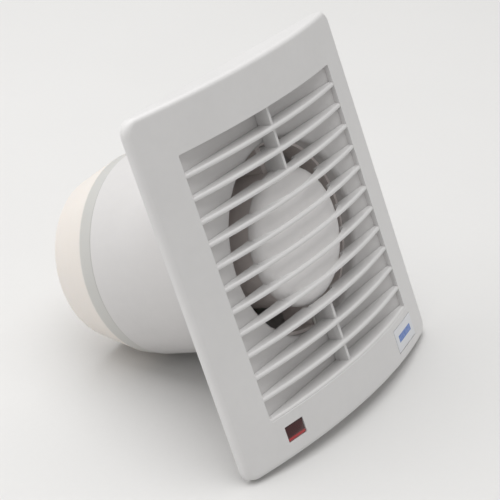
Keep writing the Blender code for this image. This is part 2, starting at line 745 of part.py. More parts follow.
def impeller(looks):
    front, back = HUB_FRONT, HUB_BACK
    wall = 2.0 * MM
    boss = 5.5 * MM
    profile = [
        (SHAFT_RADIUS + GAP, front),
        (HUB_RADIUS - 3.0 * MM, front),
        (HUB_RADIUS, front + 3.0 * MM),
        (HUB_RADIUS, back),
        (HUB_RADIUS - wall, back),
        (HUB_RADIUS - wall, front + wall + 1.5 * MM),
        (HUB_RADIUS - wall - 1.5 * MM, front + wall),
        (boss, front + wall),
        (boss, back - 1.0 * MM),
        (SHAFT_RADIUS + GAP, back - 1.0 * MM),
    ]
    hub = turned("impeller", profile, looks["grey"])
    return join(hub, *[blade(i) for i in range(BLADE_COUNT)])


def rotor_parts(looks):
    rod("motor_shaft", (0, -5.4 * MM, 0), (0, SHAFT_END, 0), SHAFT_RADIUS, looks["zinc"], 24)
    inner = SHAFT_RADIUS + GAP
    front, back = GAP, STACK_LENGTH - GAP
    ring = 0.7 * MM
    profile = [
        (inner, front),
        (END_RING_RADIUS, front),
        (END_RING_RADIUS, front + ring),
        (ROTOR_RADIUS, front + ring),
        (ROTOR_RADIUS, back - ring),
        (END_RING_RADIUS, back - ring),
        (END_RING_RADIUS, back),
        (inner, back),
    ]
    turned("rotor", profile, looks["steel"], 32)
    bush("front_thrust_washer", -0.5, 0.0, 3.8, looks["nylon"])
    bush("rear_thrust_washer", 12.0, 12.5, 3.8, looks["nylon"])
    bush("impeller_washer", 43.3, 44.1, 5.0, looks["zinc"])
    bush("impeller_nut", 44.4, 47.6, 4.2, looks["brass"])


# ---------------------------------------------------------------- back-draught shutter


def shutter_collar(looks):
    """Tapered collar plugged into the spigot's end, with a seat ring and a centre bar for the flaps."""
    taper = (COLLAR_WAIST_RADIUS - COLLAR_END_RADIUS) / (COLLAR_END - COLLAR_WAIST)

    def inner_radius(y):
        return COLLAR_WAIST_RADIUS - taper * (y - COLLAR_WAIST) - COLLAR_WALL

    plug = DUCT_INNER - 0.4 * MM
    seat = 38.0 * MM
    profile = [
        (plug - COLLAR_WALL, COLLAR_FRONT),
        (plug, COLLAR_FRONT),
        (plug, COLLAR_STEP),
        (COLLAR_STEP_RADIUS, COLLAR_STEP),
        (COLLAR_WAIST_RADIUS, COLLAR_WAIST),
        (COLLAR_END_RADIUS, COLLAR_END),
        (inner_radius(COLLAR_END), COLLAR_END),
        (inner_radius(SEAT_BACK), SEAT_BACK),
        (seat, SEAT_BACK),
        (seat, SEAT_FRONT),
        (inner_radius(SEAT_FRONT), SEAT_FRONT),
        (inner_radius(COLLAR_WAIST), COLLAR_WAIST),
        (plug - COLLAR_WALL, COLLAR_STEP + 2.0 * MM),
    ]
    collar = turned("shutter_collar", profile, looks["cream"], 64)
    bar_front, bar_back = SEAT_FRONT / MM + 0.1, SEAT_BACK / MM - 0.1
    join(collar, box("seat_bar", (-1.8, bar_front, -39.0), (1.8, bar_back, 39.0)))
    for side in (-1, 1):
        low, high = sorted((side * 37.0, side * 42.3))
        join(collar, box("pin_lug", (-2.4, bar_front + 0.2, low), (2.4, 110.4, high)))
    return cut(
        collar,
        rod("pin_hole", (0, PIN_DEPTH, -40.9 * MM), (0, PIN_DEPTH, 40.9 * MM), 1.3 * MM, segments=12),
    )


def shutter_flap(name, side, knuckles, looks):
    """Half-round flap made about its hinge pin. knuckles lists its barrels' (low, high) heights in mm."""
    edge = 2.7 * MM
    outer = FLAP_RADIUS
    start = math.acos(edge / outer)
    steps = 18
    outline = []
    for k in range(steps + 1):
        a = start - 2 * start * k / steps
        outline.append((side * outer * math.cos(a), outer * math.sin(a)))
    front, back = -2.8 * MM, -1.8 * MM
    rings = [[(x, y, z) for x, z in outline] for y in (front, back)]
    flap = loft(name, rings, looks["cream"])
    hole = rod("knuckle_hole", (0, 0, -40.0 * MM), (0, 0, 40.0 * MM), 1.3 * MM, segments=12)
    helpers = [hole]
    for low, high in knuckles:
        tab_low, tab_high = sorted((side * 0.2, side * 3.6))
        tab = box("knuckle_tab", (tab_low, -2.75, low), (tab_high, -1.85, high))
        barrel = rod("knuckle", (0, 0, low * MM), (0, 0, high * MM), 2.3 * MM)
        join(flap, tab, barrel)
        helpers += [tab, barrel]
    cut(flap, hole)
    for made in (flap, *helpers):
        made.location = (0.0, PIN_DEPTH, 0.0)
    return flap


def shutter(looks):
    shutter_collar(looks)
    shutter_flap("shutter_flap_left", -1, ((6.0, 14.0), (-30.0, -22.0)), looks)
    shutter_flap("shutter_flap_right", 1, ((22.0, 30.0), (-14.0, -6.0)), looks)
    rod("shutter_pin", (0, PIN_DEPTH, -40.5 * MM), (0, PIN_DEPTH, 40.5 * MM), 1.0 * MM, looks["zinc"], 12)


# ---------------------------------------------------------------- wiring in the lower band


def terminal_x(index):
    return TERMINAL_FIRST_X + index * TERMINAL_PITCH


def terminal_block(looks):
    """Three-way block: a wire well up through each way, and a screw in front that bears on the wire."""
    left = (terminal_x(0) - TERMINAL_PITCH / 2) / MM
    right = (terminal_x(2) + TERMINAL_PITCH / 2) / MM
    low = (left, BLOCK_FRONT / MM, BLOCK_BOTTOM / MM)
    high = (right, BLOCK_BACK / MM, BLOCK_TOP / MM)
    block = box("terminal_block", low, high, looks["nylon"])
    z = (BLOCK_BOTTOM + BLOCK_TOP) / 2
    for k in range(3):
        x = terminal_x(k)
        screw_well = rod("screw_well", (x, BLOCK_FRONT - 1.0 * MM, z), (x, -6.0 * MM, z), 2.3 * MM)
        below, above = (x, WELL_DEPTH, BLOCK_BOTTOM - 1.0 * MM), (x, WELL_DEPTH, BLOCK_TOP + 1.0 * MM)
        cut(block, screw_well, rod("wire_well", below, above, 1.4 * MM, segments=12))
        head, tip = (x, BLOCK_FRONT + 1.4 * MM, z), (x, -6.9 * MM, z)
        screw = rod(f"terminal_screw_{k + 1}", head, tip, 1.9 * MM, looks["brass"])
        slot_low = (x / MM - 2.5, -11.0, z / MM - 0.35)
        slot_high = (x / MM + 2.5, -10.0, z / MM + 0.35)
        cut(screw, box("terminal_slot", slot_low, slot_high))
    return block


def cable_clamp(looks):
    """Bar that grips the supply cable, held on two bosses by two screws, beside the cable's grommet."""
    clamp = box("cable_clamp", (6.4, -8.2, -83.8), (11.6, -5.6, -69.4), looks["nylon"])
    screw = [(0.0, -10.4), (1.7, -10.4), (2.3, -9.8), (2.3, -8.5), (1.0, -8.5), (1.0, -3.8), (0.0, -3.8)]
    for k, side in enumerate((1, -1)):
        z = BAND_HEIGHT + side * CLAMP_SCREW_OFFSET
        hole = rod("clamp_clearance", (CLAMP_X, -9.0 * MM, z), (CLAMP_X, -5.0 * MM, z), 1.4 * MM, segments=12)
        cut(clamp, hole)
        profile = [(r * MM, y * MM) for r, y in screw]
        turned(f"clamp_screw_{k + 1}", profile, looks["zinc"], 16, (CLAMP_X, z))
    ring = [(3.0, -4.4), (6.8, -4.4), (6.8, -2.8), (5.0, -2.8), (5.0, -0.3), (3.0, -0.3)]
    profile = [(r * MM, y * MM) for r, y in ring]
    turned("cable_grommet", profile, looks["black"], 24, (CABLE_HOLE_X, BAND_HEIGHT))


def neon_indicator(looks):
    """Neon lamp in a cradle behind the lens, its series resistor, and their leads to the terminal block."""
    z = BAND_HEIGHT
    left, right = -57.4, -45.4
    bottom, top = -80.0, -73.2
    holder = box("lamp_holder", (left, -3.6, bottom), (right, -2.8, top), looks["nylon"])
    for low in (left + 1.0, right - 2.4):
        join(holder, box("lamp_ear", (low, -6.6, bottom), (low + 1.4, -3.2, top)))
    seat = rod("lamp_seat", (-60 * MM, LAMP_DEPTH, z), (-40 * MM, LAMP_DEPTH, z), LAMP_RADIUS + GAP)
    cut(holder, seat)
    rod("neon_lamp", (-57.0 * MM, LAMP_DEPTH, z), (-46.0 * MM, LAMP_DEPTH, z), LAMP_RADIUS, looks["glass"])
    start = (-37.0 * MM, -5.4 * MM, RESISTOR_HEIGHT)
    end = (-31.5 * MM, -5.4 * MM, RESISTOR_HEIGHT)
    rod("lamp_resistor", start, end, 1.1 * MM, looks["ceramic"], 12)
    to_resistor = (
        (-45.6, -6.2, -75.8),
        (-44.2, -6.0, -74.6),
        (-42.4, -5.6, -71.6),
        (-40.0, -5.4, -70.8),
        (-37.3, -5.4, -70.8),
    )
    to_first_terminal = (
        (-31.2, -5.4, -70.8),
        (-28.6, -5.4, -70.5),
        (-26.0, -5.3, -70.4),
        (-25.0, -5.2, -71.6),
        (-25.0, -5.2, -74.0),
    )
    to_second_terminal = (
        (-45.6, -5.2, -77.4),
        (-43.6, -3.9, -77.8),
        (-42.2, -3.6, -81.0),
        (-37.0, -3.9, -83.8),
        (-30.0, -4.8, -84.5),
        (-21.0, -5.2, -84.6),
        (-17.6, -5.2, -83.8),
        (-17.0, -5.2, -81.0),
    )
    wire("lamp_lead_resistor", to_resistor, LAMP_LEAD_RADIUS, looks["wire"])
    wire("lamp_lead_live", to_first_terminal, LAMP_LEAD_RADIUS, looks["wire"])
    wire("lamp_lead_neutral", to_second_terminal, LAMP_LEAD_RADIUS, looks["wire"])


def motor_leads(looks):
    """Two sleeved leads from the terminal block, under the deck, into the duct and along the lower strut."""
    live = (
        (-17.0, -5.2, -73.6),
        (-17.0, -5.2, -71.4),
        (-14.6, -5.0, -69.6),
        (-10.0, -4.6, -69.1),
        (-3.6, -4.2, -69.2),
    )
    neutral = (
        (-9.0, -5.2, -73.6),
        (-9.0, -5.6, -71.8),
        (-7.8, -6.8, -70.2),
        (-4.6, -6.9, -69.7),
        (0.9, -5.0, -68.9),
    )
    for name, side, start in (("motor_lead_live", -1.15, live), ("motor_lead_neutral", 1.15, neutral)):
        under_deck = ((side, -4.2, -66.8), (side, -4.2, -60.0), (side, -4.1, -51.0))
        in_duct = ((side, -3.75, -47.4), (side, -3.55, -43.0), (side, -3.5, -36.0))
        in_cup = ((side, -3.4, -31.0), (side, -3.4, -27.0), (side, -3.2, -22.2))
        wire(name, (*start, *under_deck, *in_duct, *in_cup), MOTOR_LEAD_RADIUS, looks["wire"])


# ---------------------------------------------------------------- assembly


def clear_scene():
    for old in list(bpy.data.objects):
        bpy.data.objects.remove(old, do_unlink=True)


def main():
    clear_scene()
    looks = make_materials()
    front_cover(looks)
    indicator_lens(looks)
    badge_plate(looks)
    housing(looks)
    motor_carrier(looks)
    motor_cap(looks)
    motor(looks)
    rotor_parts(looks)
    impeller(looks)
    shutter(looks)
    terminal_block(looks)
    cable_clamp(looks)
    neon_indicator(looks)
    motor_leads(looks)


main()
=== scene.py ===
"""Looks of the bathroom extractor fan: finer visible pieces, finishes, stage and camera, as an add-on."""

import math

import bmesh
import bpy
from mathutils import Matrix, Vector


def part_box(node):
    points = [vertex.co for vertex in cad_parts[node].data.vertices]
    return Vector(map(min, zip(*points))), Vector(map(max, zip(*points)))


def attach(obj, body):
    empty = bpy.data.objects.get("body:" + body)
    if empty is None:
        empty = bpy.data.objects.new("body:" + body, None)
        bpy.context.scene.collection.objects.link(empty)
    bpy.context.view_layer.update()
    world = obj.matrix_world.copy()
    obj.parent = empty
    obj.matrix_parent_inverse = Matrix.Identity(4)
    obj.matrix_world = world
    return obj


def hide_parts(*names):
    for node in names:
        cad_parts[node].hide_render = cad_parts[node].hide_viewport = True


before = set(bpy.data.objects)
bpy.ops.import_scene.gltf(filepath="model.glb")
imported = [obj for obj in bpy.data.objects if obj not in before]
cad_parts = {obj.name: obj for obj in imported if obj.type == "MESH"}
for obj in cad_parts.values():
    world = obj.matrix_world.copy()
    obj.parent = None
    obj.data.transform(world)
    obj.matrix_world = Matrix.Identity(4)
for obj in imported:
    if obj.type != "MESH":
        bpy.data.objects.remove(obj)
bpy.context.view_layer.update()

bl_info = {
    "name": "Bathroom extractor fan",
    "version": (1, 0, 0),
    "blender": (4, 5, 0),
    "location": "View3D > Sidebar > Fan",
    "description": "Builds the visible pieces, finishes and stage of a wall fan with a duct spigot",
    "category": "Object",
}

MM = 0.001

cover_low, cover_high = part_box("front_cover")
cap_low, cap_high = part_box("motor_cap")
lens_low, lens_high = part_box("indicator_lens")
badge_low, badge_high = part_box("badge_plate")

# Sizes that the pieces share, in metres
COVER_EDGE_DEPTH = 4.2 * MM
COVER_WALL = 2.0 * MM
COVER_BACK = cover_high.y
RETURN_BACK = -7.95 * MM  # back of the short wall round the window
RETURN_WALL = 1.2 * MM
WINDOW_HALF_WIDTH = 61.8 * MM
WINDOW_TOP = 64.6 * MM
WINDOW_BOTTOM = -67.0 * MM
TOP_SLAT = 54.4 * MM
SLAT_BACK = -8.15 * MM
TUBE_END = 76.4 * MM
COLLAR_WAIST = 85.0 * MM
BAND_HEIGHT = (lens_low.z + lens_high.z) / 2
RIB_END_INNER = 32.8 * MM
RIB_STEP = 45.5 * MM
RIB_BACK = -4.6 * MM  # back of the rib where it is shallow, near the motor
PEG_ACROSS = 38.0 * MM
PEG_UP = 77.0 * MM
PEG_BACK = -4.4 * MM
CAP_EDGE = 5.0 * MM  # radius of the motor cap's rounded edge
SHARP_ANGLE = math.radians(32.0)  # steeper edges stay crisp when a piece is shaded smooth
TABLE_RADIUS = 1.1
CLEARANCE_INNER = 22.0 * MM  # radius where the room in front of the motor starts to narrow
CLEARANCE_OUTER = 35.6 * MM
CLEARANCE_DEEP = -16.6 * MM
CLEARANCE_SHALLOW = -10.6 * MM


# ------------------------------------------------------------------ properties


class FanSizes(bpy.types.PropertyGroup):
    crown: bpy.props.FloatProperty(
        name="Cover crown",
        description="How far the bowed front stands proud of the wall at its middle",
        default=-cover_low.y,
        unit="LENGTH",
    )
    fillet: bpy.props.FloatProperty(
        name="Cover fillet",
        description="Radius of the rounded edge round the cover",
        default=2.5 * MM,
        unit="LENGTH",
    )
    corner: bpy.props.FloatProperty(
        name="Cover corner",
        description="Radius of the cover's four corners",
        default=7.0 * MM,
        unit="LENGTH",
    )
    slat_pitch: bpy.props.FloatProperty(
        name="Slat pitch",
        description="Distance from one louvre slat to the next",
        default=11.0 * MM,
        unit="LENGTH",
    )
    slat_count: bpy.props.IntProperty(
        name="Slats",
        description="Number of louvre slats, the sill included",
        default=12,
        min=1,
    )
    slat_rise: bpy.props.FloatProperty(
        name="Slat rise",
        description="How far a slat's top curves up towards its back",
        default=1.6 * MM,
        unit="LENGTH",
    )
    slat_nose: bpy.props.FloatProperty(
        name="Slat nose",
        description="Radius of a slat's rounded front edge",
        default=1.15 * MM,
        unit="LENGTH",
    )


class FanColours(bpy.types.PropertyGroup):
    cover: bpy.props.FloatVectorProperty(
        name="Cover",
        description="White of the moulded cover",
        subtype="COLOR",
        default=(0.72, 0.712, 0.708),
    )
    housing: bpy.props.FloatVectorProperty(
        name="Housing",
        description="White of the housing and its spigot",
        subtype="COLOR",
        default=(0.65, 0.637, 0.632),
    )
    motor: bpy.props.FloatVectorProperty(
        name="Motor",
        description="White of the motor's cap",
        subtype="COLOR",
        default=(0.84, 0.825, 0.82),
    )
    collar: bpy.props.FloatVectorProperty(
        name="Shutter collar",
        description="Cream of the back-draught shutter",
        subtype="COLOR",
        default=(0.80, 0.752, 0.705),
    )
    lens: bpy.props.FloatVectorProperty(
        name="Lamp lens",
        description="Red of the power lamp's lens",
        subtype="COLOR",
        default=(0.10, 0.003, 0.005),
    )
    label: bpy.props.FloatVectorProperty(
        name="Label bar",
        description="Blue of the plain bar on the label plate",
        subtype="COLOR",
        default=(0.02, 0.13, 0.50),
    )


class FanStage(bpy.types.PropertyGroup):
    lean: bpy.props.FloatProperty(
        name="Lean",
        description="Slope of the table under the fan, which rests on its plate's edge and its collar",
        default=math.radians(22.5),
        subtype="ANGLE",
    )
    turn: bpy.props.FloatProperty(
        name="Camera turn",
        description="Direction the camera looks, from the duct's axis towards the right of the cover",
        default=math.radians(56.38),
        subtype="ANGLE",
    )
    tilt: bpy.props.FloatProperty(
        name="Camera tilt",
        description="How far the camera looks down on the table",
        default=math.radians(29.12),
        subtype="ANGLE",
    )
    roll: bpy.props.FloatProperty(
        name="Camera roll",
        description="How far the camera's right side is raised",
        default=math.radians(0.49),
        subtype="ANGLE",
    )
    distance: bpy.props.FloatProperty(
        name="Camera distance",
        description="Distance from the camera to the point it looks at",
        default=826.5 * MM,
        unit="LENGTH",
    )
    aim: bpy.props.FloatVectorProperty(
        name="Camera aim",
        description="Point that the camera looks at",
        subtype="TRANSLATION",
        default=(-11.0 * MM, 12.4 * MM, -0.8 * MM),
    )
    lens: bpy.props.FloatProperty(
        name="Camera lens",
        description="Focal length in millimetres on a 36 mm sensor",
        default=125.03,
    )


# ------------------------------------------------------------------ shader maths


class Signal:
    """A shader socket that takes part in Python arithmetic, by adding Math nodes."""

    def __init__(self, surface, socket):
        self.surface = surface
        self.socket = socket

    def _maths(self, operation, first, second=0.0):
        return self.surface.node("ShaderNodeMath", {"operation": operation}, {0: first, 1: second})

    def __add__(self, other):
        return self._maths("ADD", self, other)

    __radd__ = __add__

    def __sub__(self, other):
        return self._maths("SUBTRACT", self, other)

    def __rsub__(self, other):
        return self._maths("SUBTRACT", other, self)

    def __mul__(self, other):
        return self._maths("MULTIPLY", self, other)

    __rmul__ = __mul__

    def __truediv__(self, other):
        return self._maths("DIVIDE", self, other)

    def __abs__(self):
        return self._maths("ABSOLUTE", self)

    def ramp(self, start, end):
        """Smooth rise from 0 at start to 1 at end."""
        values = {0: self, 1: start, 2: end, 3: 0.0, 4: 1.0}
        settings = {"interpolation_type": "SMOOTHSTEP"}
        return self.surface.node("ShaderNodeMapRange", settings, values)


class Surface:
    """One material and the nodes that feed its Principled shader."""

    def __init__(self, name):
        self.material = bpy.data.materials.new(name)
        self.material.use_nodes = True
        self.tree = self.material.node_tree
        self.shader = self.tree.nodes["Principled BSDF"]

    def plug(self, socket, value):
        if isinstance(value, Signal):
            self.tree.links.new(value.socket, socket)
        else:
            socket.default_value = value

    def node(self, kind, settings=None, values=None, output=0):
        made = self.tree.nodes.new(kind)
        for key, value in (settings or {}).items():
            setattr(made, key, value)
        for key, value in (values or {}).items():
            self.plug(made.inputs[key], value)
        return Signal(self, made.outputs[output])

    def place(self):
        """Position in the fan's own frame, in metres."""
        return self.node("ShaderNodeTexCoord", output="Object")

    def axis(self, place, name):
        return self.node("ShaderNodeSeparateXYZ", values={"Vector": place}, output=name)

    def noise(self, place, scale, detail=2.0, stretch=(1.0, 1.0, 1.0)):
        """Noise round 0, whose blotches are about 1 / scale metres wide."""
        stretched = self.node("ShaderNodeVectorMath", {"operation": "MULTIPLY"}, {0: place, 1: stretch})
        values = {"Vector": stretched, "Scale": scale, "Detail": detail}
        return self.node("ShaderNodeTexNoise", {}, values) - 0.5

    def mix(self, factor, first, second):
        return self.node("ShaderNodeMix", {"data_type": "RGBA"}, {0: factor, 6: first, 7: second}, 2)

    def bump(self, height, depth, strength=1.0):
        return self.node("ShaderNodeBump", {}, {"Strength": strength, "Distance": depth, "Height": height})

    def finish(self, **sockets):
        for name, value in sockets.items():
            self.plug(self.shader.inputs[name.replace("_", " ")], value)
        return self.material


def rgba(colour, gain=1.0):
    return (*(min(1.0, channel * gain) for channel in colour), 1.0)


# ------------------------------------------------------------------ finishes


def moulded_plastic(name, colour, roughness, grain=1.0, mottle=0.03):
    """Injection-moulded plastic: faint cloudy flow, a spark-eroded skin and a few shinier rubbed patches."""
    surface = Surface(name)
    place = surface.place()
    flow = surface.noise(place, 28.0, 3.0)
    cloud = surface.noise(place, 240.0, 2.0)
    skin = surface.noise(place, 3200.0, 2.0)
    pores = surface.noise(place, 1100.0, 1.0)
    tone = (flow * 0.7 + cloud * 0.3) * 2.0 + 0.5
    base = surface.mix(tone, rgba(colour, 1.0 - mottle), rgba(colour, 1.0 + mottle))
    rub = flow * 0.14 + pores * 0.08 + skin * 0.06
    normal = surface.bump(skin * 0.6 + pores * 0.4, 0.03 * MM * grain, 0.5)
    return surface.finish(Base_Color=base, Roughness=rub + roughness, Normal=normal)


def shutter_plastic(name, colour, waist):
    """Unpigmented polypropylene: cream where it is thin, with painted shade greying the sleeve where the
    plug inside it blocks light through the wall, and a painted shadow behind the tube's end.
    """
    surface = Surface(name)
    place = surface.place()
    along = surface.axis(place, "Y")
    thin = along.ramp(waist - 1.0 * MM, waist + 0.4 * MM)
    flow = surface.noise(place, 40.0, 3.0)
    skin = surface.noise(place, 2600.0, 2.0)
    lines = surface.noise(place, 160.0, 2.0, (1.0, 6.0, 1.0))
    # Painted shade: the sleeve is painted grey where the plug inside keeps light from passing through its
    # wall.
    grey = (0.56, 0.555, 0.535)
    sleeve = surface.mix(flow + 0.5, rgba(grey, 0.98), rgba(grey, 1.03))
    cone = surface.mix(flow + lines * 0.5 + 0.5, rgba(colour, 0.97), rgba(colour, 1.03))
    # Painted shadow: a dark brown-grey band just behind the tube's end, where the collar's sleeve steps out.
    painted_step_shadow = 1.0 - along.ramp(TUBE_END + 0.4 * MM, TUBE_END + 1.5 * MM)
    base = surface.mix(painted_step_shadow * 0.45, surface.mix(thin, sleeve, cone), (0.30, 0.285, 0.27, 1.0))
    normal = surface.bump(skin + lines * 0.4, 0.025 * MM, 0.5)
    surface.shader.inputs["Subsurface Weight"].default_value = 0.15
    surface.shader.inputs["Subsurface Radius"].default_value = (1.0, 0.8, 0.6)
    surface.shader.inputs["Subsurface Scale"].default_value = 2.0 * MM
    return surface.finish(Base_Color=base, Roughness=flow * 0.12 + 0.42, Normal=normal)


def lens_plastic(name, colour, low, high):
    """Clear dark red lens with prism ribs behind a polished face, and a painted glow of brighter red along
    its lower edge.
    """
    surface = Surface(name)
    place = surface.place()
    up = surface.axis(place, "Z")
    across = surface.axis(place, "X")
    share = (up - low) / (high - low)
    # Painted glow: the lower edge of the lens is painted a brighter red.
    edge = 1.0 - share.ramp(0.12, 0.26)
    ribs = surface.node("ShaderNodeMath", {"operation": "SINE"}, {0: across * 5200.0}).ramp(-0.8, 0.8)
    depth = surface.mix(ribs * 0.5, rgba(colour, 0.35), rgba(colour, 0.9))
    base = surface.mix(edge, depth, (0.42, 0.006, 0.012, 1.0))
    surface.shader.inputs["Coat Roughness"].default_value = 0.05
    surface.shader.inputs["IOR"].default_value = 1.49
    dust = surface.noise(place, 700.0, 2.0)
    return surface.finish(Base_Color=base, Roughness=dust * 0.08 + 0.14, Coat_Weight=0.6)


def label_finish(name, plate, bar, low, high):
    """Smooth label plate with one plain bar printed across its middle."""
    surface = Surface(name)
    place = surface.place()
    up = surface.axis(place, "Z")
    across = surface.axis(place, "X")
    middle = (low + high) / 2
    half = (high - low) / 2
    level = abs(up - middle.z) / half.z
    side = abs(across - middle.x) / half.x
    inside = (1.0 - level.ramp(0.26, 0.34)) * (1.0 - side.ramp(0.66, 0.72))
    wear = surface.noise(place, 900.0, 3.0)
    print_cover = inside * (wear * 0.5 + 0.86)
    base = surface.mix(print_cover, rgba(plate), rgba(bar))
    return surface.finish(Base_Color=base, Roughness=wear * 0.1 + 0.32 - inside * 0.08)


def metal(name, colour, roughness, scratch=0.2, stretch=(1.0, 1.0, 1.0)):
    """Machined or plated metal with fine directional marks and slight tarnish."""
    surface = Surface(name)
    place = surface.place()
    marks = surface.noise(place, 1500.0, 3.0, stretch)
    tarnish = surface.noise(place, 130.0, 3.0)
    base = surface.mix(tarnish * 1.2 + 0.5, rgba(colour, 0.82), rgba(colour, 1.12))
    rough = marks * scratch + tarnish * 0.15 + roughness
    normal = surface.bump(marks, 0.015 * MM, 0.5)
    surface.shader.inputs["Metallic"].default_value = 1.0
    return surface.finish(Base_Color=base, Roughness=rough, Normal=normal)


def laminated_steel(name, colour):
    """Stack of half-millimetre laminations, seen as fine lines across the stack."""
    surface = Surface(name)
    place = surface.place()
    along = surface.axis(place, "Y")
    sheets = surface.node("ShaderNodeMath", {"operation": "SINE"}, {0: along * (2 * math.pi / (0.5 * MM))})
    rust = surface.noise(place, 420.0, 4.0).ramp(0.12, 0.3)
    base = surface.mix(rust * 0.5, rgba(colour), (0.20, 0.10, 0.06, 1.0))
    normal = surface.bump(sheets, 0.05 * MM)
    surface.shader.inputs["Metallic"].default_value = 0.9
    return surface.finish(Base_Color=base, Roughness=rust * 0.3 + 0.38, Normal=normal)


def wound_copper(name, colour):
    """Enamelled wire in close turns round the pole."""
    surface = Surface(name)
    place = surface.place()
    up = surface.axis(place, "Z")
    turns = surface.node("ShaderNodeMath", {"operation": "SINE"}, {0: up * (2 * math.pi / (0.45 * MM))})
    tone = surface.noise(place, 500.0, 2.0)
    base = surface.mix(tone + turns * 0.2 + 0.5, rgba(colour, 0.7), rgba(colour, 1.2))
    normal = surface.bump(turns, 0.12 * MM)
    surface.shader.inputs["Metallic"].default_value = 0.7
    return surface.finish(Base_Color=base, Roughness=tone * 0.1 + 0.34, Normal=normal)


def rubber(name, colour):
    """Matt rubber with a faint pale bloom."""
    surface = Surface(name)
    place = surface.place()
    bloom = surface.noise(place, 300.0, 4.0)
    skin = surface.noise(place, 2200.0, 2.0)
    base = surface.mix(bloom.ramp(-0.1, 0.3), rgba(colour), rgba(colour, 2.2))
    normal = surface.bump(skin, 0.04 * MM)
    return surface.finish(Base_Color=base, Roughness=bloom * 0.1 + 0.72, Normal=normal)


def lamp_glass(name):
    """Thin glass of the neon lamp, with the faint orange of its electrodes."""
    surface = Surface(name)
    place = surface.place()
    haze = surface.noise(place, 600.0, 2.0)
    glow = surface.axis(place, "X")
    ends = abs(glow - (lens_low.x + lens_high.x) / 2).ramp(2.5 * MM, 5.0 * MM)
    base = surface.mix(ends, (0.75, 0.36, 0.2, 1.0), (0.7, 0.68, 0.64, 1.0))
    return surface.finish(Base_Color=base, Roughness=haze * 0.06 + 0.09, Alpha=ends * 0.4 + 0.5)


def make_finishes(colours):
    """Every material by the short name that the operators use."""
    margin = 1.2 * MM
    lens_face = (lens_low.z + margin, lens_high.z - margin)
    label_box = (badge_low, badge_high)
    return {
        "cover": moulded_plastic("white_abs_cover", colours.cover, 0.36),
        "housing": moulded_plastic("white_abs_housing", colours.housing, 0.42, 1.2),
        "motor": moulded_plastic("white_abs_motor", colours.motor, 0.40, 1.0, 0.04),
        "carrier": moulded_plastic("grey_abs_carrier", (0.74, 0.685, 0.665), 0.46, 1.3, 0.05),
        "impeller": moulded_plastic("grey_polypropylene", (0.72, 0.67, 0.65), 0.48, 1.4, 0.08),
        "nylon": moulded_plastic("natural_nylon", (0.72, 0.69, 0.62), 0.44, 0.8, 0.05),
        "wire": moulded_plastic("wire_sleeve", (0.74, 0.73, 0.70), 0.5, 0.6, 0.04),
        "resistor": moulded_plastic("resistor_lacquer", (0.42, 0.31, 0.18), 0.38, 0.5, 0.1),
        "shutter": shutter_plastic("cream_polypropylene", colours.collar, COLLAR_WAIST),
        "lens": lens_plastic("red_lens_acrylic", colours.lens, *lens_face),
        "label": label_finish("label_plate", (0.74, 0.75, 0.78), colours.label, *label_box),
        "zinc": metal("zinc_plate", (0.58, 0.59, 0.58), 0.34),
        "steel_shaft": metal("ground_steel", (0.56, 0.56, 0.57), 0.24, 0.25, (1.0, 0.1, 1.0)),
        "brass": metal("turned_brass", (0.72, 0.50, 0.18), 0.28),
        "bronze": metal("sintered_bronze", (0.42, 0.27, 0.13), 0.52, 0.3),
        "laminations": laminated_steel("laminated_steel", (0.34, 0.34, 0.36)),
        "copper": wound_copper("enamelled_copper", (0.50, 0.18, 0.07)),
        "rubber": rubber("black_rubber", (0.02, 0.02, 0.021)),
        "glass": lamp_glass("lamp_glass"),
    }


finishes = {}


# ------------------------------------------------------------------ meshes


def smooth_object(name, builder, look):
    """New object from a filled bmesh, shaded smooth but for its sharp edges."""
    bmesh.ops.recalc_face_normals(builder, faces=builder.faces)
    mesh = bpy.data.meshes.new(name)
    builder.to_mesh(mesh)
    builder.free()
    mesh.shade_smooth()
    mesh.set_sharp_from_angle(angle=SHARP_ANGLE)
    mesh.materials.append(look)
    made = bpy.data.objects.new(name, mesh)
    bpy.context.scene.collection.objects.link(made)
    return made


def skin_rings(builder, rings, closed=False):
    """Faces over rings of equal point count; a closed skin joins its last ring to its first."""
    verts = [[builder.verts.new(point) for point in ring] for ring in rings]
    count = len(rings[0])
    pairs = list(zip(verts, verts[1:]))
    if closed:
        pairs.append((verts[-1], verts[0]))
    for near, far in pairs:
        for i in range(count):
            j = (i + 1) % count
            builder.faces.new((near[i], near[j], far[j], far[i]))
    if not closed:
        builder.faces.new(verts[0])
        builder.faces.new(verts[-1])


def turn_profile(builder, profile, segments=128, centre=(0.0, 0.0)):
    """Closed body of revolution about the line along Y at (X, Z) = centre, from (radius, Y) points."""
    rings = []
    for radius, y in profile:
        if radius == 0.0:
            rings.append([builder.verts.new((centre[0], y, centre[1]))])
            continue
        ring = []
        for i in range(segments):
            a = 2 * math.pi * i / segments
            x, z = centre[0] + radius * math.cos(a), centre[1] + radius * math.sin(a)
            ring.append(builder.verts.new((x, y, z)))
        rings.append(ring)
    for near, far in zip(rings, rings[1:] + rings[:1]):
        if len(near) == 1 and len(far) == 1:
            continue
        for i in range(segments):
            j = (i + 1) % segments
            if len(near) == 1:
                builder.faces.new((near[0], far[j], far[i]))
            elif len(far) == 1:
                builder.faces.new((near[i], near[j], far[0]))
            else:
                builder.faces.new((near[i], near[j], far[j], far[i]))


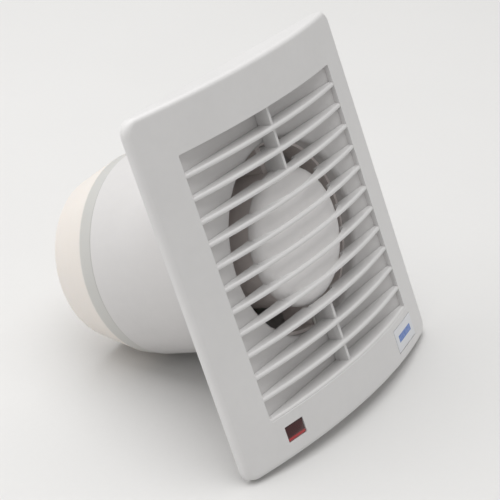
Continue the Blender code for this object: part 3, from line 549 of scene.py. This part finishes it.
def rounded_outline(half_width, top, bottom, radius, across=56, along=40, corner=10):
    """Rounded rectangle in (X, Z) with a fixed point count, clockwise from the left of its top edge."""
    right = half_width - radius
    corners = [
        (right, top - radius, 90.0),
        (right, bottom + radius, 0.0),
        (-right, bottom + radius, -90.0),
        (-right, top - radius, 180.0),
    ]
    counts = [across, along, across, along]
    arcs = []
    for x, z, start in corners:
        angles = [math.radians(start - 90.0 * k / corner) for k in range(corner + 1)]
        arcs.append([(x + radius * math.cos(a), z + radius * math.sin(a)) for a in angles])
    outline = []
    for side in range(4):
        begin, end = arcs[side - 1][-1], arcs[side][0]
        for k in range(1, counts[side]):
            t = k / counts[side]
            outline.append((begin[0] + t * (end[0] - begin[0]), begin[1] + t * (end[1] - begin[1])))
        outline.extend(arcs[side])
    return outline


def arc(radius, start, end, steps):
    """Offsets (cosine, sine) times the radius, from start to end in degrees."""
    angles = [math.radians(start + (end - start) * k / steps) for k in range(steps + 1)]
    return [(radius * math.cos(a), radius * math.sin(a)) for a in angles]


class Bow:
    """The cover's bowed front: a cylinder about an upright axis."""

    def __init__(self, crown):
        sagitta = crown - COVER_EDGE_DEPTH
        half = cover_high.x
        self.crown = crown
        self.radius = (half**2 + sagitta**2) / (2 * sagitta)

    def y(self, x):
        return self.radius - math.sqrt(self.radius**2 - x**2) - self.crown

    def frame(self, x, z):
        """Frame on the front: local X along the bow, local Y into the wall, local Z up."""
        turn = math.asin(x / self.radius)
        return Matrix.Translation((x, self.y(x), z)) @ Matrix.Rotation(turn, 4, "Z")


def rounded_box(builder, low, high, radius, place, steps=4):
    """Block whose front edges and upright corners are rounded, between two corners of a local frame."""
    middle = ((low[0] + high[0]) / 2, (low[2] + high[2]) / 2)
    half_x, half_z = (high[0] - low[0]) / 2, (high[2] - low[2]) / 2
    rings = []
    insets = [(0.0, high[1] - low[1])]
    insets += [(radius - c, radius - s) for c, s in arc(radius, 0.0, 90.0, steps)]
    for inset, rise in insets:
        turn = max(radius - inset, 0.02 * MM)
        outline = rounded_outline(half_x - inset, half_z - inset, inset - half_z, turn, 2, 2, 4)
        rings.append([place @ Vector((x + middle[0], low[1] + rise, z + middle[1])) for x, z in outline])
    skin_rings(builder, rings)


def cover_shell(builder, bow, sizes):
    """Bowed shell with a rounded rim and a window whose edge is slightly rounded."""
    half_width, half_height = cover_high.x, cover_high.z
    window_edge = 0.35 * MM
    window_corner = 0.7 * MM

    def lay(outline, rise, back):
        """The outline laid on the bow, or flat where a back is given."""
        return [(x, bow.y(x) + rise if back is None else back, z) for x, z in outline]

    def rim(inset, rise, back=None):
        top = half_height - inset
        return lay(rounded_outline(half_width - inset, top, -top, sizes.corner - inset), rise, back)

    def window(grow, rise, back=None):
        top, bottom = WINDOW_TOP + grow, WINDOW_BOTTOM - grow
        outline = rounded_outline(WINDOW_HALF_WIDTH + grow, top, bottom, window_corner + grow)
        return lay(outline, rise, back)

    fillet = sizes.fillet
    rings = [rim(0.35 * MM, 0.0, back=COVER_BACK), rim(0.0, 0.0, back=COVER_BACK - 0.35 * MM)]
    rings += [rim(fillet - c, fillet - s) for c, s in arc(fillet, 0.0, 90.0, 10)]
    rings += [window(window_edge - c, window_edge - s) for c, s in arc(window_edge, 90.0, 0.0, 4)]
    rings += [window(0.0, 0.0, back=RETURN_BACK), window(RETURN_WALL, 0.0, back=RETURN_BACK)]
    rings.append(window(RETURN_WALL + 0.3 * MM, COVER_WALL))
    rings.append(rim(fillet, COVER_WALL))
    rings.append(rim(COVER_WALL, 0.0, back=COVER_BACK))
    skin_rings(builder, rings, closed=True)


def clearance(radius):
    """Y of the back of a slat at a given distance from the duct's axis."""
    if radius >= CLEARANCE_OUTER:
        return SLAT_BACK
    t = max(0.0, (radius - CLEARANCE_INNER) / (CLEARANCE_OUTER - CLEARANCE_INNER))
    return CLEARANCE_DEEP + t * (CLEARANCE_SHALLOW - CLEARANCE_DEEP)


def slat(builder, bow, sizes, index):
    """Level sheet behind the bow with a rounded lip, cut back where the motor stands."""
    z = TOP_SLAT - index * sizes.slat_pitch
    nose = sizes.slat_nose
    reach = WINDOW_HALF_WIDTH + 0.8 * MM
    stations = {-reach + 2 * reach * k / 40 for k in range(41)}
    for radius in (CLEARANCE_INNER, CLEARANCE_OUTER):
        if radius > abs(z):
            x = math.sqrt(radius**2 - z**2)
            for side in (-1, 1):
                stations |= {side * x - 0.02 * MM, side * x + 0.02 * MM}
    rings = []
    for x in sorted(stations):
        middle = bow.y(x) + 0.15 * MM + nose
        back = max(clearance(math.hypot(x, z)), middle + 0.3 * MM)
        ring = [(x, middle - c, z + s) for c, s in arc(nose, 90.0, -90.0, 10)]
        ring.append((x, back, z - 0.5 * MM))
        for t in (1.0, 0.9, 0.8, 0.65, 0.45, 0.2):
            ring.append((x, middle + t * (back - middle), z + nose + (sizes.slat_rise - nose) * t**3))
        rings.append(ring)
    skin_rings(builder, rings)


def cover_rib(builder, bow):
    """Upright rib behind the slats, above and below the motor."""
    half = 0.9 * MM
    front = bow.y(0.0) + 2.5 * MM
    spans = [
        (RIB_END_INNER, RIB_STEP, RIB_BACK),
        (RIB_STEP - 0.5 * MM, WINDOW_TOP + 1.0 * MM, SLAT_BACK),
        (-RIB_STEP, -RIB_END_INNER, RIB_BACK),
        (WINDOW_BOTTOM - 1.0 * MM, 0.5 * MM - RIB_STEP, SLAT_BACK),
    ]
    for low, high, back in spans:
        rounded_box(builder, (-half, front, low), (half, back, high), 0.25 * MM, Matrix.Identity(4), 3)


def cover_pegs(builder, bow):
    """Four push-fit pegs behind the cover, each with a chamfered tip."""
    wide, narrow = 1.5 * MM, 1.1 * MM
    for side in (-1, 1):
        for level in (-1, 1):
            x, z = side * PEG_ACROSS, level * PEG_UP
            start, end = bow.y(x) + 1.0 * MM, PEG_BACK
            profile = [(0.0, start), (wide, start), (wide, end - 0.5 * MM), (narrow, end), (0.0, end)]
            turn_profile(builder, profile, 24, (x, z))


def cut_openings(cover, bow):
    """Openings for the lamp's lens and the label plate, cut square to the bow."""
    lens_x = (lens_low.x + lens_high.x) / 2
    badge_x = (badge_low.x + badge_high.x) / 2
    for name, x, half, depth in (
        ("lens_opening", lens_x, Vector((5.9, 0.0, 3.95)) * MM, 4.0 * MM),
        ("label_recess", badge_x, Vector((12.6, 0.0, 6.2)) * MM, 1.1 * MM),
    ):
        builder = bmesh.new()
        where = bow.frame(x, BAND_HEIGHT)
        outline = rounded_outline(half.x, half.z, -half.z, 0.4 * MM, 2, 2, 4)
        ends = (-3.0 * MM, depth)
        skin_rings(builder, [[where @ Vector((px, y, pz)) for px, pz in outline] for y in ends])
        cutter = smooth_object(name, builder, finishes["cover"])
        step = cover.modifiers.new(name, "BOOLEAN")
        step.operation = "DIFFERENCE"
        step.object = cutter
        step.solver = "EXACT"
    bake_modifiers(cover)
    cover.data.set_sharp_from_angle(angle=SHARP_ANGLE)
    even = cover.modifiers.new("even shading", "WEIGHTED_NORMAL")
    even.keep_sharp = True


def bake_modifiers(piece):
    """The piece's modifiers made part of its mesh, and the helpers that they used removed."""
    bpy.context.view_layer.update()
    helpers = [m.object for m in piece.modifiers if m.type == "BOOLEAN"]
    graph = bpy.context.evaluated_depsgraph_get()
    piece.data = bpy.data.meshes.new_from_object(piece.evaluated_get(graph))
    piece.modifiers.clear()
    for helper in helpers:
        bpy.data.objects.remove(helper)


def keep_node(name, look):
    """A carried-over node with its own finish: welded, and smooth but for its true edges."""
    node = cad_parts[name]
    mesh = node.data
    if "custom_normal" in mesh.attributes:
        mesh.attributes.remove(mesh.attributes["custom_normal"])
    mesh.shade_smooth()
    weld = node.modifiers.new("weld", "WELD")
    weld.merge_threshold = 0.001 * MM
    split = node.modifiers.new("edge split", "EDGE_SPLIT")
    split.split_angle = math.radians(33.0)
    for slot in node.material_slots:
        slot.material = look


# ------------------------------------------------------------------ operators


class FAN_OT_finishes(bpy.types.Operator):
    """Make every finish of the fan."""

    bl_idname = "fan.finishes"
    bl_label = "Finishes"

    def execute(self, context):
        finishes.update(make_finishes(context.scene.fan_colours))
        return {"FINISHED"}


class FAN_OT_front_cover(bpy.types.Operator):
    """Build the bowed front cover with its louvre."""

    bl_idname = "fan.front_cover"
    bl_label = "Front cover"

    def execute(self, context):
        sizes = context.scene.fan_sizes
        bow = Bow(sizes.crown)
        builder = bmesh.new()
        cover_shell(builder, bow, sizes)
        panel = smooth_object("cover_panel", builder, finishes["cover"])
        cut_openings(panel, bow)
        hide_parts("front_cover")
        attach(panel, "cover")
        builder = bmesh.new()
        for index in range(sizes.slat_count):
            slat(builder, bow, sizes, index)
        cover_rib(builder, bow)
        cover_pegs(builder, bow)
        louvre = smooth_object("cover_louvre", builder, finishes["cover"])
        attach(louvre, "cover")
        return {"FINISHED"}


class FAN_OT_lamp_lens(bpy.types.Operator):
    """Build the red lens of the power lamp."""

    bl_idname = "fan.lamp_lens"
    bl_label = "Lamp lens"

    def execute(self, context):
        bow = Bow(context.scene.fan_sizes.crown)
        where = bow.frame((lens_low.x + lens_high.x) / 2, BAND_HEIGHT)
        builder = bmesh.new()
        for half_x, half_z, front, back, edge in ((5.6, 3.65, 0.5, 2.6, 0.35), (6.8, 4.8, 2.4, 3.1, 0.2)):
            low, high = Vector((-half_x, front, -half_z)), Vector((half_x, back, half_z))
            rounded_box(builder, low * MM, high * MM, edge * MM, where)
        lens = smooth_object("lamp_lens", builder, finishes["lens"])
        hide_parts("indicator_lens")
        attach(lens, "cover")
        return {"FINISHED"}


class FAN_OT_label_plate(bpy.types.Operator):
    """Build the label plate with its plain bar."""

    bl_idname = "fan.label_plate"
    bl_label = "Label plate"

    def execute(self, context):
        bow = Bow(context.scene.fan_sizes.crown)
        where = bow.frame((badge_low.x + badge_high.x) / 2, BAND_HEIGHT)
        builder = bmesh.new()
        low, high = Vector((-12.3, 0.2, -5.9)), Vector((12.3, 0.8, 5.9))
        rounded_box(builder, low * MM, high * MM, 0.2 * MM, where)
        label = smooth_object("label_plate", builder, finishes["label"])
        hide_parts("badge_plate")
        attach(label, "cover")
        return {"FINISHED"}


class FAN_OT_housing(bpy.types.Operator):
    """Finish the housing with its deck, bell mouth and spigot."""

    bl_idname = "fan.housing"
    bl_label = "Housing"

    def execute(self, context):
        keep_node("housing", finishes["housing"])
        return {"FINISHED"}


class FAN_OT_motor_front(bpy.types.Operator):
    """Build the motor's cap and finish its carrier."""

    bl_idname = "fan.motor_front"
    bl_label = "Motor cap and carrier"

    def execute(self, context):
        keep_node("motor_carrier", finishes["carrier"])
        builder = bmesh.new()
        radius, front = cap_high.x, cap_low.y
        profile = [(0.0, front), (1.2 * MM, front), (1.4 * MM, front + 0.12 * MM), (1.7 * MM, front)]
        edge = arc(CAP_EDGE, 0.0, 90.0, 10)
        profile += [(radius - CAP_EDGE + s, front + CAP_EDGE - c) for c, s in edge]
        inner = [(33.6, -7.3), (30.8, -7.3), (30.8, -5.5), (29.6, -5.5), (29.6, -9.7), (0.0, -9.7)]
        profile += [(r * MM, y * MM) for r, y in inner]
        turn_profile(builder, profile)
        cap = smooth_object("motor_cap_disc", builder, finishes["motor"])
        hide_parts("motor_cap")
        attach(cap, "housing")
        return {"FINISHED"}


class FAN_OT_shutter(bpy.types.Operator):
    """Finish the back-draught shutter."""

    bl_idname = "fan.shutter"
    bl_label = "Back-draught shutter"

    def execute(self, context):
        for name in ("shutter_collar", "shutter_flap_left", "shutter_flap_right"):
            keep_node(name, finishes["shutter"])
        keep_node("shutter_pin", finishes["steel_shaft"])
        return {"FINISHED"}


class FAN_OT_rotating(bpy.types.Operator):
    """Finish the impeller, its shaft and the rotor."""

    bl_idname = "fan.rotating"
    bl_label = "Impeller and rotor"

    def execute(self, context):
        keep_node("impeller", finishes["impeller"])
        keep_node("motor_shaft", finishes["steel_shaft"])
        keep_node("rotor", finishes["laminations"])
        keep_node("impeller_washer", finishes["zinc"])
        keep_node("impeller_nut", finishes["brass"])
        for name in ("front_thrust_washer", "rear_thrust_washer"):
            keep_node(name, finishes["nylon"])
        return {"FINISHED"}


class FAN_OT_motor(bpy.types.Operator):
    """Finish the motor inside its cup."""

    bl_idname = "fan.motor"
    bl_label = "Motor"

    def execute(self, context):
        keep_node("stator_core", finishes["laminations"])
        for end in ("upper", "lower"):
            keep_node(f"bobbin_{end}", finishes["nylon"])
            keep_node(f"winding_{end}", finishes["copper"])
        for end in ("front", "rear"):
            keep_node(f"{end}_bearing_bracket", finishes["zinc"])
            keep_node(f"{end}_bearing", finishes["bronze"])
        for side in ("left", "right"):
            keep_node(f"motor_screw_{side}", finishes["zinc"])
        return {"FINISHED"}


class FAN_OT_wiring(bpy.types.Operator):
    """Finish the terminal block, cable entry, lamp and leads behind the cover."""

    bl_idname = "fan.wiring"
    bl_label = "Wiring"

    def execute(self, context):
        for name in ("terminal_block", "cable_clamp", "lamp_holder"):
            keep_node(name, finishes["nylon"])
        for index in (1, 2, 3):
            keep_node(f"terminal_screw_{index}", finishes["brass"])
        for index in (1, 2):
            keep_node(f"clamp_screw_{index}", finishes["zinc"])
        keep_node("cable_grommet", finishes["rubber"])
        keep_node("neon_lamp", finishes["glass"])
        keep_node("lamp_resistor", finishes["resistor"])
        for lead in ("lamp_lead_resistor", "lamp_lead_live", "lamp_lead_neutral"):
            keep_node(lead, finishes["wire"])
        for lead in ("motor_lead_live", "motor_lead_neutral"):
            keep_node(lead, finishes["wire"])
        return {"FINISHED"}


class FAN_OT_stage(bpy.types.Operator):
    """Make the table, the studio light and the camera."""

    bl_idname = "fan.stage"
    bl_label = "Stage"

    def execute(self, context):
        stage = context.scene.fan_stage
        table = Matrix.Rotation(stage.lean, 3, "X")
        up = table @ Vector((0.0, 0.0, 1.0))
        make_table(table)
        make_world()
        make_lights(table)
        make_camera(stage, table, up)
        return {"FINISHED"}


def make_table(table):
    """Round pale table under the plate's back edge, fading out towards its rim."""
    rest = Vector((0.0, COVER_BACK, cover_low.z))
    builder = bmesh.new()
    rings = 24
    segments = 96
    centre = rest + table @ Vector((0.0, 0.1, -0.1 * MM))
    hub = builder.verts.new(centre)
    last = None
    for k in range(1, rings + 1):
        radius = TABLE_RADIUS * k / rings
        ring = []
        for i in range(segments):
            a = 2 * math.pi * i / segments
            offset = Vector((radius * math.cos(a), radius * math.sin(a), 0.0))
            ring.append(builder.verts.new(centre + table @ offset))
        for i in range(segments):
            j = (i + 1) % segments
            if last is None:
                builder.faces.new((hub, ring[i], ring[j]))
            else:
                builder.faces.new((last[i], last[j], ring[j], ring[i]))
        last = ring
    surface = Surface("table_paper")
    place = surface.place()
    ends = {0: place, 1: tuple(centre)}
    away = surface.node("ShaderNodeVectorMath", {"operation": "DISTANCE"}, ends, 1)
    fibre = surface.noise(place, 420.0, 4.0)
    cloud = surface.noise(place, 9.0, 2.0)
    tone = fibre * 0.6 + cloud * 0.8 + 0.5
    base = surface.mix(tone, (0.70, 0.695, 0.687, 1.0), (0.73, 0.725, 0.717, 1.0))
    surface.finish(Base_Color=base, Roughness=fibre * 0.1 + 0.7, Alpha=1.0 - away.ramp(0.55, 1.05))
    floor = smooth_object("table_top", builder, surface.material)


def make_world():
    """Pale surroundings: dimmer as a light than as the backdrop that shows behind the table."""
    world = bpy.data.worlds.new("studio")
    bpy.context.scene.world = world
    world.use_nodes = True
    tree = world.node_tree
    tree.nodes.clear()
    output = tree.nodes.new("ShaderNodeOutputWorld")
    light = tree.nodes.new("ShaderNodeBackground")
    light.inputs["Color"].default_value = (1.0, 0.995, 0.985, 1.0)
    light.inputs["Strength"].default_value = 0.47
    backdrop = tree.nodes.new("ShaderNodeBackground")
    backdrop.inputs["Color"].default_value = (0.79, 0.79, 0.78, 1.0)
    seen = tree.nodes.new("ShaderNodeLightPath")
    choice = tree.nodes.new("ShaderNodeMixShader")
    tree.links.new(seen.outputs["Is Camera Ray"], choice.inputs[0])
    tree.links.new(light.outputs[0], choice.inputs[1])
    tree.links.new(backdrop.outputs[0], choice.inputs[2])
    tree.links.new(choice.outputs[0], output.inputs["Surface"])


def area_light(name, place, target, size, power):
    """Square soft light at place that faces target."""
    light = bpy.data.lights.new(name, "AREA")
    light.shape = "SQUARE"
    light.size = size
    light.energy = power
    made = bpy.data.objects.new(name, light)
    bpy.context.scene.collection.objects.link(made)
    made.location = place
    made.rotation_euler = (Vector(target) - Vector(place)).to_track_quat("-Z", "Y").to_euler()


def make_lights(table):
    """A large overhead light that leaves the plate's front in soft shade, and a weak one beside the duct."""
    area_light("overhead", table @ Vector((0.0, 0.33, 1.6)), (0.0, 0.03, 0.0), 2.0, 27.0)
    area_light("fill", table @ Vector((-0.9, 0.75, 0.5)), (0.0, 0.08, 0.0), 1.2, 3.4)


def make_camera(stage, table, up):
    """Camera aimed at the fan, with its angles measured from the table."""
    forward = table @ Vector(
        (
            math.sin(stage.turn) * math.cos(stage.tilt),
            math.cos(stage.turn) * math.cos(stage.tilt),
            -math.sin(stage.tilt),
        )
    )
    right = Matrix.Rotation(-stage.roll, 3, forward) @ forward.cross(up).normalized()
    top = right.cross(forward)
    camera = bpy.data.objects.new("camera", bpy.data.cameras.new("camera"))
    bpy.context.scene.collection.objects.link(camera)
    turn = Matrix((right, top, -forward)).transposed()
    place = Vector(stage.aim) - forward * stage.distance
    camera.matrix_world = Matrix.Translation(place) @ turn.to_4x4()
    camera.data.lens = stage.lens
    camera.data.clip_start = 10.0 * MM
    bpy.context.scene.camera = camera
    bpy.context.scene.view_settings.view_transform = "Standard"


class FAN_PT_panel(bpy.types.Panel):
    """Sizes, colours and pieces of the fan."""

    bl_label = "Extractor fan"
    bl_idname = "FAN_PT_panel"
    bl_space_type = "VIEW_3D"
    bl_region_type = "UI"
    bl_category = "Fan"

    def draw(self, context):
        layout = self.layout
        for group in (context.scene.fan_sizes, context.scene.fan_colours, context.scene.fan_stage):
            column = layout.column(align=True)
            for name in group.__annotations__:
                column.prop(group, name)
        for operator in STEPS:
            layout.operator(operator.bl_idname)


STEPS = (
    FAN_OT_finishes,
    FAN_OT_front_cover,
    FAN_OT_lamp_lens,
    FAN_OT_label_plate,
    FAN_OT_housing,
    FAN_OT_motor_front,
    FAN_OT_shutter,
    FAN_OT_rotating,
    FAN_OT_motor,
    FAN_OT_wiring,
    FAN_OT_stage,
)
CLASSES = (FanSizes, FanColours, FanStage, *STEPS, FAN_PT_panel)


def register():
    for made in CLASSES:
        bpy.utils.register_class(made)
    bpy.types.Scene.fan_sizes = bpy.props.PointerProperty(type=FanSizes)
    bpy.types.Scene.fan_colours = bpy.props.PointerProperty(type=FanColours)
    bpy.types.Scene.fan_stage = bpy.props.PointerProperty(type=FanStage)


def unregister():
    for name in ("fan_sizes", "fan_colours", "fan_stage"):
        delattr(bpy.types.Scene, name)
    for made in reversed(CLASSES):
        bpy.utils.unregister_class(made)


def main():
    register()
    for step in STEPS:
        group, name = step.bl_idname.split(".")
        getattr(getattr(bpy.ops, group), name)()


if __name__ == "__main__":
    main()
